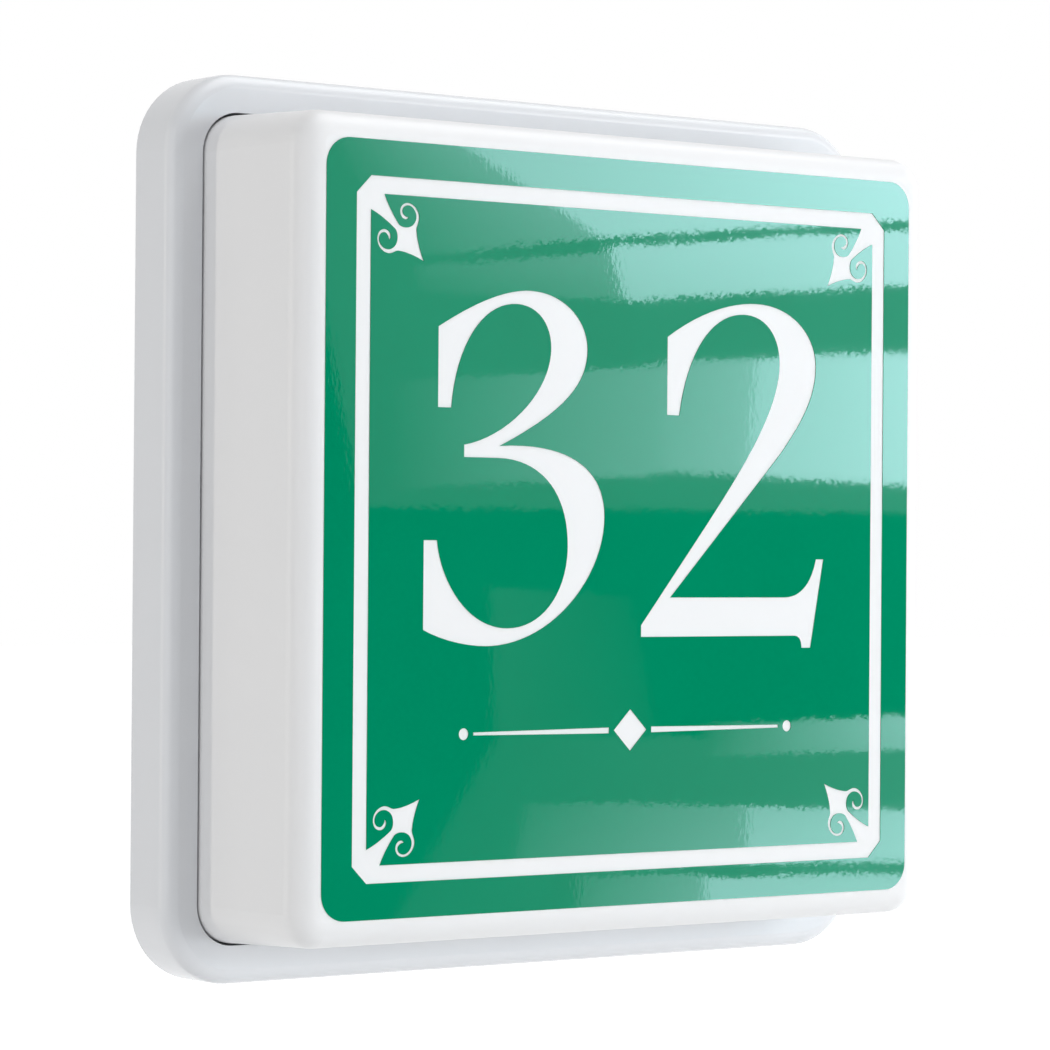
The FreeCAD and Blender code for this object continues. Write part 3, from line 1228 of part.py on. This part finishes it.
os.makedirs("parts", exist_ok=True)
for piece in pieces:
    if piece.Shape.isNull() or not piece.Shape.isValid() or not piece.Shape.Solids:
        raise RuntimeError("the shape of %s is not sound" % piece.Label)
    piece.Shape.exportStep("parts/%s.step" % piece.Label)
    box = piece.Shape.BoundBox
    print("%-22s solids %2d  volume %10.1f  y %7.2f .. %7.2f" % (
        piece.Label, len(piece.Shape.Solids), piece.Shape.Volume, box.YMin, box.YMax))
print("pieces", len(pieces))
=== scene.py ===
import math

import bmesh
import bpy
from mathutils import Matrix, Vector

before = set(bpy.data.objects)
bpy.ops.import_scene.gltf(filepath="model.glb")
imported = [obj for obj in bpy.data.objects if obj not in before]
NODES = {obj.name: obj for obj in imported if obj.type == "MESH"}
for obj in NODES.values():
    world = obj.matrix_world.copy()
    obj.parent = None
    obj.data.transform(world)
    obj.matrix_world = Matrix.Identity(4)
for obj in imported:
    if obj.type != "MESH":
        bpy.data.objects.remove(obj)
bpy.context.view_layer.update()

MM = 0.001
FRONT = -0.069                      # y of the cover's front face, with the wall at y = 0
WHITE = (1.0, 1.0, 1.0)


# ---------------------------------------------------------------- camera

# The camera's turn, and where it stands from the middle of the front face along its own axes.
CAMERA_YAW = math.radians(37.224)
CAMERA_PITCH = math.radians(0.429)
CAMERA_ROLL = math.radians(0.428)
CAMERA_DISTANCE = 1.24559
CAMERA_SIDESTEP = 0.03284
CAMERA_RISE = -0.00231

# Its focal length is in pixels of a picture with this side, its sensor's width in millimetres.
PICTURE_SIDE = 1050.0
FOCAL_PIXELS = 4029.57
SENSOR_WIDTH = 36.0


def camera_axes():
    """Forward, right and up of the camera that looks at the sign from its left."""
    forward = Vector((math.sin(CAMERA_YAW) * math.cos(CAMERA_PITCH),
                      math.cos(CAMERA_YAW) * math.cos(CAMERA_PITCH), math.sin(CAMERA_PITCH)))
    level_right = Vector((math.cos(CAMERA_YAW), -math.sin(CAMERA_YAW), 0.0))
    level_up = level_right.cross(forward)
    right = math.cos(CAMERA_ROLL) * level_right + math.sin(CAMERA_ROLL) * level_up
    up = -math.sin(CAMERA_ROLL) * level_right + math.cos(CAMERA_ROLL) * level_up
    return forward, right, up


def camera_place():
    forward, right, up = camera_axes()
    front_middle = Vector((0.0, FRONT, 0.0))
    return front_middle - CAMERA_DISTANCE * forward - CAMERA_SIDESTEP * right - CAMERA_RISE * up


def make_camera():
    forward, right, up = camera_axes()
    data = bpy.data.cameras.new("camera")
    data.sensor_fit = "HORIZONTAL"
    data.sensor_width = SENSOR_WIDTH
    data.lens = FOCAL_PIXELS / PICTURE_SIDE * SENSOR_WIDTH
    camera = bpy.data.objects.new("camera", data)
    turn = Matrix((right, up, -forward)).transposed().to_4x4()
    camera.matrix_world = Matrix.Translation(camera_place()) @ turn
    bpy.context.scene.collection.objects.link(camera)
    bpy.context.scene.camera = camera


# ---------------------------------------------------------------- node helpers

def empty_tree(owner):
    """The node tree of a material or the world, with nothing in it yet."""
    owner.use_nodes = True
    owner.node_tree.nodes.clear()
    return owner.node_tree


def end_tree(tree, output, shader):
    """Ends a tree with the shader node that the surface shows."""
    leave = tree.nodes.new(output)
    tree.links.new(shader.outputs[0], leave.inputs["Surface"])


def plain_shader(tree, kind, colour):
    """A shader node of one colour."""
    node = tree.nodes.new(kind)
    node.inputs["Color"].default_value = (*colour, 1.0)
    return node


def mix_shaders(tree, factor, first, second):
    """The first shader where the factor is 0, and the second where it is 1."""
    mix = tree.nodes.new("ShaderNodeMixShader")
    tree.links.new(factor, mix.inputs["Fac"])
    tree.links.new(first.outputs[0], mix.inputs[1])
    tree.links.new(second.outputs[0], mix.inputs[2])
    return mix


def calculate(tree, operation, *terms):
    """The result of a math node on sockets and numbers."""
    node = tree.nodes.new("ShaderNodeMath")
    node.operation = operation
    for entry, term in zip(node.inputs, terms):
        if isinstance(term, bpy.types.NodeSocket):
            tree.links.new(term, entry)
        else:
            entry.default_value = term
    return node.outputs["Value"]


def noise(tree, place, scale, detail):
    """A cloudy pattern. Its scale is about how many clouds it has to the metre."""
    node = tree.nodes.new("ShaderNodeTexNoise")
    node.inputs["Detail"].default_value = detail
    tree.links.new(place, node.inputs["Vector"])
    tree.links.new(scale, node.inputs["Scale"])
    return node.outputs["Fac"]


# ---------------------------------------------------------------- surface of a finish

GRAIN_DETAIL = 2.0
DRIFT_DETAIL = 3.0
DRIFT_RANGE = (0.3, 0.7)            # where nearly all of the drift's pattern lies


def group_sockets(tree, inputs, outputs):
    for kind, name in inputs:
        tree.interface.new_socket(name, in_out="INPUT", socket_type=kind)
    for kind, name in outputs:
        tree.interface.new_socket(name, in_out="OUTPUT", socket_type=kind)
    return tree.nodes.new("NodeGroupInput"), tree.nodes.new("NodeGroupOutput")


def make_grain_group():
    """Fine unevenness of a surface: its normal, and the slow drift that tone and gloss follow."""
    tree = bpy.data.node_groups.new("surface grain", "ShaderNodeTree")
    inputs = (("NodeSocketFloat", "Grain Scale"), ("NodeSocketFloat", "Grain Height"),
              ("NodeSocketFloat", "Drift Scale"), ("NodeSocketFloat", "Drift Height"),
              ("NodeSocketVector", "Stretch"))
    outputs = (("NodeSocketVector", "Normal"), ("NodeSocketFloat", "Drift"))
    entry, leave = group_sockets(tree, inputs, outputs)
    place = tree.nodes.new("ShaderNodeTexCoord").outputs["Object"]
    stretch = tree.nodes.new("ShaderNodeVectorMath")
    stretch.operation = "MULTIPLY"
    tree.links.new(place, stretch.inputs[0])
    tree.links.new(entry.outputs["Stretch"], stretch.inputs[1])
    grain = noise(tree, stretch.outputs["Vector"], entry.outputs["Grain Scale"], GRAIN_DETAIL)
    drift = noise(tree, place, entry.outputs["Drift Scale"], DRIFT_DETAIL)
    fine = calculate(tree, "MULTIPLY", grain, entry.outputs["Grain Height"])
    height = calculate(tree, "MULTIPLY_ADD", drift, entry.outputs["Drift Height"], fine)
    bump = tree.nodes.new("ShaderNodeBump")
    bump.inputs["Distance"].default_value = 1.0
    tree.links.new(height, bump.inputs["Height"])
    tree.links.new(bump.outputs["Normal"], leave.inputs["Normal"])
    tree.links.new(drift, leave.inputs["Drift"])
    return tree


GRAIN = make_grain_group()


def number_range(tree, drift, low, high):
    """A number that goes from low to high as the drift goes through its range."""
    rescale = tree.nodes.new("ShaderNodeMapRange")
    rescale.interpolation_type = "SMOOTHSTEP"
    rescale.inputs["From Min"].default_value = DRIFT_RANGE[0]
    rescale.inputs["From Max"].default_value = DRIFT_RANGE[1]
    rescale.inputs["To Min"].default_value = low
    rescale.inputs["To Max"].default_value = high
    tree.links.new(drift, rescale.inputs["Value"])
    return rescale.outputs["Result"]


def shade_mix(tree, dark, light, mask):
    """A colour between two, by a mask."""
    mix = tree.nodes.new("ShaderNodeMix")
    mix.data_type = "RGBA"
    mix.inputs["A"].default_value = (*dark, 1.0)
    mix.inputs["B"].default_value = (*light, 1.0)
    tree.links.new(mask, mix.inputs["Factor"])
    return mix.outputs["Result"]


def moulded(name, dark, light, rough, grain, drift=14.0, swell=0.0, stretch=(1.0, 1.0, 1.0),
            even=None):
    """A material with fine grain, and a slow drift between two tones and two grades of gloss.

    grain holds the grain's scale and height, drift is the drift's scale and swell its height, and
    even holds what is the same all over the surface.
    """
    material = bpy.data.materials.new(name)
    tree = empty_tree(material)
    shader = tree.nodes.new("ShaderNodeBsdfPrincipled")
    surface = tree.nodes.new("ShaderNodeGroup")
    surface.node_tree = GRAIN
    surface.inputs["Grain Scale"].default_value = grain[0]
    surface.inputs["Grain Height"].default_value = grain[1]
    surface.inputs["Drift Scale"].default_value = drift
    surface.inputs["Drift Height"].default_value = swell
    surface.inputs["Stretch"].default_value = stretch
    mask = number_range(tree, surface.outputs["Drift"], 0.0, 1.0)
    tree.links.new(shade_mix(tree, dark, light, mask), shader.inputs["Base Color"])
    roughness = number_range(tree, surface.outputs["Drift"], rough[0], rough[1])
    tree.links.new(roughness, shader.inputs["Roughness"])
    tree.links.new(surface.outputs["Normal"], shader.inputs["Normal"])
    for entry, value in (even or {}).items():
        shader.inputs[entry].default_value = value
    end_tree(tree, "ShaderNodeOutputMaterial", shader)
    return material


# ---------------------------------------------------------------- finishes of the sign

SLEEVE_SHADE = 0.88                 # a wire sleeve's darker tone, as a share of its lighter one


def sleeve(tone):
    """The values of a wire's soft coloured sleeve."""
    dark = tuple(SLEEVE_SHADE * part for part in tone)
    return dict(dark=dark, light=tone, rough=(0.38, 0.52), grain=(1600.0, 0.00002))


FINISHES = {
    "white housing": dict(
        dark=(0.724, 0.736, 0.757), light=(0.728, 0.740, 0.761), rough=(0.268, 0.273),
        grain=(700.0, 0.000004), drift=40.0),
    "opal cover": dict(
        dark=(0.823, 0.823, 0.827), light=(0.827, 0.826, 0.829), rough=(0.318, 0.324),
        grain=(500.0, 0.000003), drift=40.0, even={"IOR": 1.49, "Specular IOR Level": 0.28}),
    "green film": dict(
        dark=(0.0, 0.240, 0.113), light=(0.0, 0.252, 0.121), rough=(0.016, 0.026),
        grain=(650.0, 0.000004), drift=11.0, swell=0.00004, stretch=(1.0, 1.0, 0.5)),
    "seal rubber": dict(
        dark=(0.030, 0.031, 0.034), light=(0.045, 0.046, 0.050), rough=(0.55, 0.75),
        grain=(1500.0, 0.00003)),
    "grommet rubber": dict(
        dark=(0.020, 0.020, 0.021), light=(0.032, 0.032, 0.033), rough=(0.5, 0.7),
        grain=(1300.0, 0.00003)),
    "cell foam": dict(
        dark=(0.045, 0.045, 0.048), light=(0.085, 0.085, 0.090), rough=(0.8, 0.95),
        grain=(1800.0, 0.00025), drift=900.0),
    "spring steel": dict(
        dark=(0.50, 0.51, 0.53), light=(0.60, 0.61, 0.62), rough=(0.22, 0.36),
        grain=(400.0, 0.000006), stretch=(1.0, 1.0, 9.0), even={"Metallic": 1.0}),
    "zinc plated steel": dict(
        dark=(0.56, 0.57, 0.58), light=(0.67, 0.68, 0.69), rough=(0.25, 0.40),
        grain=(1600.0, 0.000010), drift=220.0, even={"Metallic": 1.0}),
    "brass": dict(
        dark=(0.62, 0.43, 0.15), light=(0.74, 0.55, 0.24), rough=(0.22, 0.38),
        grain=(1400.0, 0.000008), drift=200.0, even={"Metallic": 1.0}),
    "tray paint": dict(
        dark=(0.76, 0.765, 0.76), light=(0.80, 0.80, 0.79), rough=(0.42, 0.55),
        grain=(1100.0, 0.00004)),
    "power supply case": dict(
        dark=(0.70, 0.70, 0.68), light=(0.74, 0.74, 0.72), rough=(0.50, 0.62),
        grain=(2200.0, 0.00006)),
    "terminal block": dict(
        dark=(0.52, 0.53, 0.54), light=(0.57, 0.58, 0.59), rough=(0.35, 0.48),
        grain=(1500.0, 0.00002)),
    "lever plastic": dict(
        dark=(0.72, 0.20, 0.02), light=(0.80, 0.24, 0.03), rough=(0.32, 0.42),
        grain=(1500.0, 0.00002)),
    "connector plastic": dict(
        dark=(0.72, 0.71, 0.64), light=(0.78, 0.77, 0.70), rough=(0.42, 0.55),
        grain=(1700.0, 0.00002)),
    "lamp board": dict(
        dark=(0.74, 0.75, 0.74), light=(0.80, 0.80, 0.79), rough=(0.28, 0.40),
        grain=(1300.0, 0.00001)),
    "lamp chip": dict(
        dark=(0.72, 0.50, 0.06), light=(0.82, 0.62, 0.10), rough=(0.35, 0.50),
        grain=(3000.0, 0.00002), drift=300.0),
    "clear lens": dict(
        dark=(0.96, 0.97, 0.98), light=(0.98, 0.985, 0.99), rough=(0.04, 0.10),
        grain=(900.0, 0.000004), even={"Transmission Weight": 0.9, "IOR": 1.49}),
    "wire brown": sleeve((0.16, 0.065, 0.030)),
    "wire blue": sleeve((0.03, 0.11, 0.42)),
    "wire green": sleeve((0.10, 0.34, 0.05)),
    "wire red": sleeve((0.50, 0.03, 0.02)),
    "wire black": sleeve((0.022, 0.022, 0.024)),
    "wire white": sleeve((0.72, 0.72, 0.70)),
}

CLIP_SIDES = ("right", "top", "left", "bottom")
LAMP_BARS = 4

NODE_FINISH = {
    "back_housing": "white housing", "opal_cover": "opal cover",
    "film_margin": "green film", "film_field": "green film",
    "wall_seal": "cell foam", "cover_seal": "seal rubber",
    "cable_grommet": "grommet rubber", "wall_screw_washers": "grommet rubber",
    "gear_tray": "tray paint", "tray_screws": "zinc plated steel",
    "bar_screws": "zinc plated steel", "power_supply_screws": "zinc plated steel",
    "earth_screw": "brass", "earth_lug": "brass",
    "power_supply": "power supply case", "terminal_block": "terminal block",
    "live_lever": "lever plastic", "neutral_lever": "lever plastic",
    "earth_lever": "lever plastic", "wire_connectors": "connector plastic",
    "live_wire": "wire brown", "neutral_wire": "wire blue", "earth_wire": "wire green",
    "lamp_wire_plus": "wire red", "lamp_wire_minus": "wire black",
    "lamp_link_wires": "wire white",
}
for side in CLIP_SIDES:
    NODE_FINISH["cover_clip_" + side] = "spring steel"
for bar in range(1, LAMP_BARS + 1):
    NODE_FINISH["lamp_bar_%d" % bar] = "lamp board"
    NODE_FINISH["lamp_chips_%d" % bar] = "lamp chip"
    NODE_FINISH["lamp_lenses_%d" % bar] = "clear lens"


def dress_nodes():
    """Every piece of the construction gets its finish in all its material slots."""
    finishes = {name: moulded(name, **values) for name, values in FINISHES.items()}
    for node, finish in NODE_FINISH.items():
        for slot in NODES[node].material_slots:
            slot.material = finishes[finish]


# ---------------------------------------------------------------- studio

AMBIENT = (0.298, 0.304, 0.316)
FLOOR_LEVEL = -0.36
FLOOR_REACH = 12.0
FLOOR_COLOUR = (0.80, 0.80, 0.80)
FLOOR_GLOW = 0.80

SEEN_RAYS = ("Is Camera Ray", "Is Glossy Ray", "Is Transmission Ray")


def light_path_any(tree, names):
    """1 for a ray of any of the named kinds."""
    path = tree.nodes.new("ShaderNodeLightPath")
    total = path.outputs[names[0]]
    for name in names[1:]:
        total = calculate(tree, "MAXIMUM", total, path.outputs[name])
    return total


def stage_mesh(name, shape, material):
    """Makes a piece of the studio from a finished shape."""
    mesh = bpy.data.meshes.new(name)
    shape.to_mesh(mesh)
    shape.free()
    mesh.materials.append(material)
    built = bpy.data.objects.new(name, mesh)
    bpy.context.scene.collection.objects.link(built)


def make_world():
    """White where it is seen, directly or in gloss and glass, and an even dim light elsewhere."""
    world = bpy.data.worlds.new("studio")
    bpy.context.scene.world = world
    tree = empty_tree(world)
    dim = plain_shader(tree, "ShaderNodeBackground", AMBIENT)
    white = plain_shader(tree, "ShaderNodeBackground", WHITE)
    sky = mix_shaders(tree, light_path_any(tree, SEEN_RAYS), dim, white)
    end_tree(tree, "ShaderNodeOutputWorld", sky)


def floor_material():
    """Near white where it is seen, with the sign's shadow, and clear from below."""
    material = bpy.data.materials.new("pale floor")
    tree = empty_tree(material)
    matt = plain_shader(tree, "ShaderNodeBsdfDiffuse", FLOOR_COLOUR)
    glow = plain_shader(tree, "ShaderNodeEmission", WHITE)
    strength = calculate(tree, "MULTIPLY", light_path_any(tree, SEEN_RAYS), FLOOR_GLOW)
    tree.links.new(strength, glow.inputs["Strength"])
    bright = tree.nodes.new("ShaderNodeAddShader")
    tree.links.new(matt.outputs["BSDF"], bright.inputs[0])
    tree.links.new(glow.outputs["Emission"], bright.inputs[1])
    clear = plain_shader(tree, "ShaderNodeBsdfTransparent", WHITE)
    side = tree.nodes.new("ShaderNodeNewGeometry")
    one_sided = mix_shaders(tree, side.outputs["Backfacing"], bright, clear)
    end_tree(tree, "ShaderNodeOutputMaterial", one_sided)
    return material


def make_floor():
    shape = bmesh.new()
    bmesh.ops.create_grid(shape, x_segments=1, y_segments=1, size=FLOOR_REACH)
    bmesh.ops.translate(shape, verts=shape.verts, vec=(0.0, 0.0, FLOOR_LEVEL))
    stage_mesh("floor", shape, floor_material())


# ---------------------------------------------------------------- windows in the film's gloss

WINDOW_DISTANCE = 2.2
WINDOW_TINT = (0.64, 0.86, 1.0)
WALL_BEHIND = 0.02                  # the dark wall stands this far behind the first pane
PANE_STEP = 0.004                   # and each pane stands this far in front of the one before
PANE_DIVISIONS = 8

# What the front film mirrors to the camera: soft grey stretches of wall and bright panes. Each has
# the corners of its mirror image on the film, in mm from the sign's middle, and its brightness at
# those corners, both in the order lower left, lower right, upper right, upper left.
PANES = {
    "upper wall": (((-102, 7), (125, 7), (125, 135), (-134, 135)), (0.7, 1.1, 1.3, 0.9)),
    "upper pane, left": (((-86, 81), (-12, 90.5), (-95, 130), (-125, 130)), (1.2, 4.6, 4.4, 1.0)),
    "upper pane": (((-14, 90.5), (125, 104), (125, 135), (-95, 130)), (10.0, 14.5, 15.5, 7.5)),
    "second pane, left": (((-82, 70.5), (-4, 71.5), (-9, 86.5), (-82, 78.5)), (1.0, 2.6, 3.8, 1.6)),
    "second pane": (((-4, 71.5), (125, 83), (125, 101), (-10, 88)), (8.5, 13.0, 13.5, 10.0)),
    "third pane, left": (((-90, 12), (11, 18), (11, 52), (-90, 44)), (0.8, 4.2, 4.2, 0.9)),
    "third pane, middle": (((11, 19), (47, 18), (50, 56), (11, 53)), (4.6, 6.4, 6.6, 4.4)),
    "third pane": (((47, 18), (125, 16), (125, 61), (50, 56)), (9.5, 12.5, 13.0, 9.5)),
    "lower wall": (((-95, -125), (125, -125), (125, -69), (-50, -60)), (0.35, 1.3, 1.2, 0.45)),
    "lower wall, left": (((-52, -60.5), (10, -64), (0, -20), (-54, -17)), (0.45, 0.15, 0.1, 0.45)),
    "low pane": (((30, -70), (125, -69.5), (125, -58.5), (30, -60)), (0.9, 6.5, 7.5, 0.4)),
    "lower pane, left": (((-45, -103.5), (47, -104), (47, -86), (-40, -82)), (1.3, 5.0, 3.8, 1.0)),
    "lower pane": (((47, -104), (125, -107), (125, -89.5), (47, -86)), (8.5, 10.0, 9.5, 6.5)),
    "lowest pane, left": (((-20, -125), (30, -125), (30, -106.5), (-20, -105)), (2.0, 5.0, 4.0, 1.5)),
    "lowest pane": (((30, -125), (125, -125), (125, -110.5), (30, -107.5)), (8.5, 10.0, 9.0, 8.0)),
}
DARK_WALL = (((-450, -450), (450, -450), (450, 450), (-450, 450)), (0.0, 0.0, 0.0, 0.0))


def mirror_reach(x_mm, z_mm, distance):
    """Where the camera's ray, mirrored by the film at a point, meets a wall at a distance."""
    camera = camera_place()
    behind = Vector((camera.x, 2.0 * FRONT - camera.y, camera.z))
    middle = Vector((0.0, FRONT, 0.0))
    onward = (middle - behind).normalized()
    level = middle + onward * distance
    ray = Vector((x_mm * MM, FRONT, z_mm * MM)) - behind
    reach = (level - behind).dot(onward) / ray.dot(onward)
    return behind + ray * reach


def blend_corners(corners, across, up):
    """The value between those of four corners, in the order that the panes have them."""
    low = corners[0] * (1.0 - across) + corners[1] * across
    high = corners[3] * (1.0 - across) + corners[2] * across
    return low * (1.0 - up) + high * up


def window_material():
    """Panes: white to the camera, their own brightness to every other ray."""
    material = bpy.data.materials.new("window light")
    tree = empty_tree(material)
    level = tree.nodes.new("ShaderNodeAttribute")
    level.attribute_name = "brightness"
    glow = plain_shader(tree, "ShaderNodeEmission", WINDOW_TINT)
    tree.links.new(level.outputs["Fac"], glow.inputs["Strength"])
    white = plain_shader(tree, "ShaderNodeEmission", WHITE)
    white.inputs["Strength"].default_value = 1.0
    pane = mix_shaders(tree, light_path_any(tree, ("Is Camera Ray",)), glow, white)
    end_tree(tree, "ShaderNodeOutputMaterial", pane)
    return material


def make_pane(name, corners, levels, distance, finish):
    points = [Vector(corner) for corner in corners]
    shape = bmesh.new()
    bmesh.ops.create_grid(shape, x_segments=PANE_DIVISIONS, y_segments=PANE_DIVISIONS, size=0.5)
    brightness = shape.verts.layers.float.new("brightness")
    for vertex in shape.verts:
        across, up = vertex.co.x + 0.5, vertex.co.y + 0.5
        spot = blend_corners(points, across, up)
        vertex[brightness] = blend_corners(levels, across, up)
        vertex.co = mirror_reach(spot.x, spot.y, distance)
    stage_mesh(name, shape, finish)


def make_windows():
    """A dark wall far off, before the sign and on its right, with the panes in front of it."""
    finish = window_material()
    for order, (corners, levels) in enumerate(PANES.values()):
        distance = WINDOW_DISTANCE - PANE_STEP * order
        make_pane("pane_%02d" % order, corners, levels, distance, finish)
    make_pane("window_wall", *DARK_WALL, WINDOW_DISTANCE + WALL_BEHIND, finish)


# ---------------------------------------------------------------- lamps

LAMP_AIM = (0.0, -0.04, 0.0)
WARM_WHITE = (1.0, 0.95, 0.86)

# Each lamp's name, place, width, height, power in watts, colour, and whether gloss mirrors it.
LAMPS = (
    ("window lamp", (0.95, -1.95, 0.0), 0.9, 0.7, 14.5, WHITE, False),
    ("upper window lamp", (1.42, -1.60, 0.66), 0.7, 0.45, 6.0, WHITE, True),
    ("top lamp", (0.5, -0.35, 1.5), 1.6, 1.0, 13.3, WHITE, True),
    ("low lamp", (0.7, -0.8, -0.27), 1.2, 0.6, 1.6, WHITE, False),
    ("right lamp", (1.6, -0.25, -0.12), 0.5, 0.3, 3.4, WHITE, True),
    ("left lamp", (-1.6, -0.6, 0.2), 1.2, 1.4, 8.2, WHITE, True),
    ("edge lamp", (-1.6, 0.75, 0.05), 0.12, 1.6, 5.8, WARM_WHITE, True),
    ("back lamp", (0.0, 2.0, 0.0), 0.25, 0.25, 12.0, WHITE, False),
)


def add_lamp(name, place, width, height, power, colour, mirrored):
    """A soft rectangular lamp that faces the sign and isn't seen by the camera."""
    data = bpy.data.lights.new(name, "AREA")
    data.shape = "RECTANGLE"
    data.size = width
    data.size_y = height
    data.energy = power
    data.color = colour
    lamp = bpy.data.objects.new(name, data)
    way = Vector(LAMP_AIM) - Vector(place)
    turn = way.to_track_quat("-Z", "Y").to_matrix().to_4x4()
    lamp.matrix_world = Matrix.Translation(Vector(place)) @ turn
    lamp.visible_camera = False
    lamp.visible_glossy = mirrored
    bpy.context.scene.collection.objects.link(lamp)


def make_lamps():
    for lamp in LAMPS:
        add_lamp(*lamp)


# ---------------------------------------------------------------- the whole scene

make_camera()
make_world()
make_floor()
make_windows()
make_lamps()
dress_nodes()
bpy.context.scene.view_settings.view_transform = "Standard"
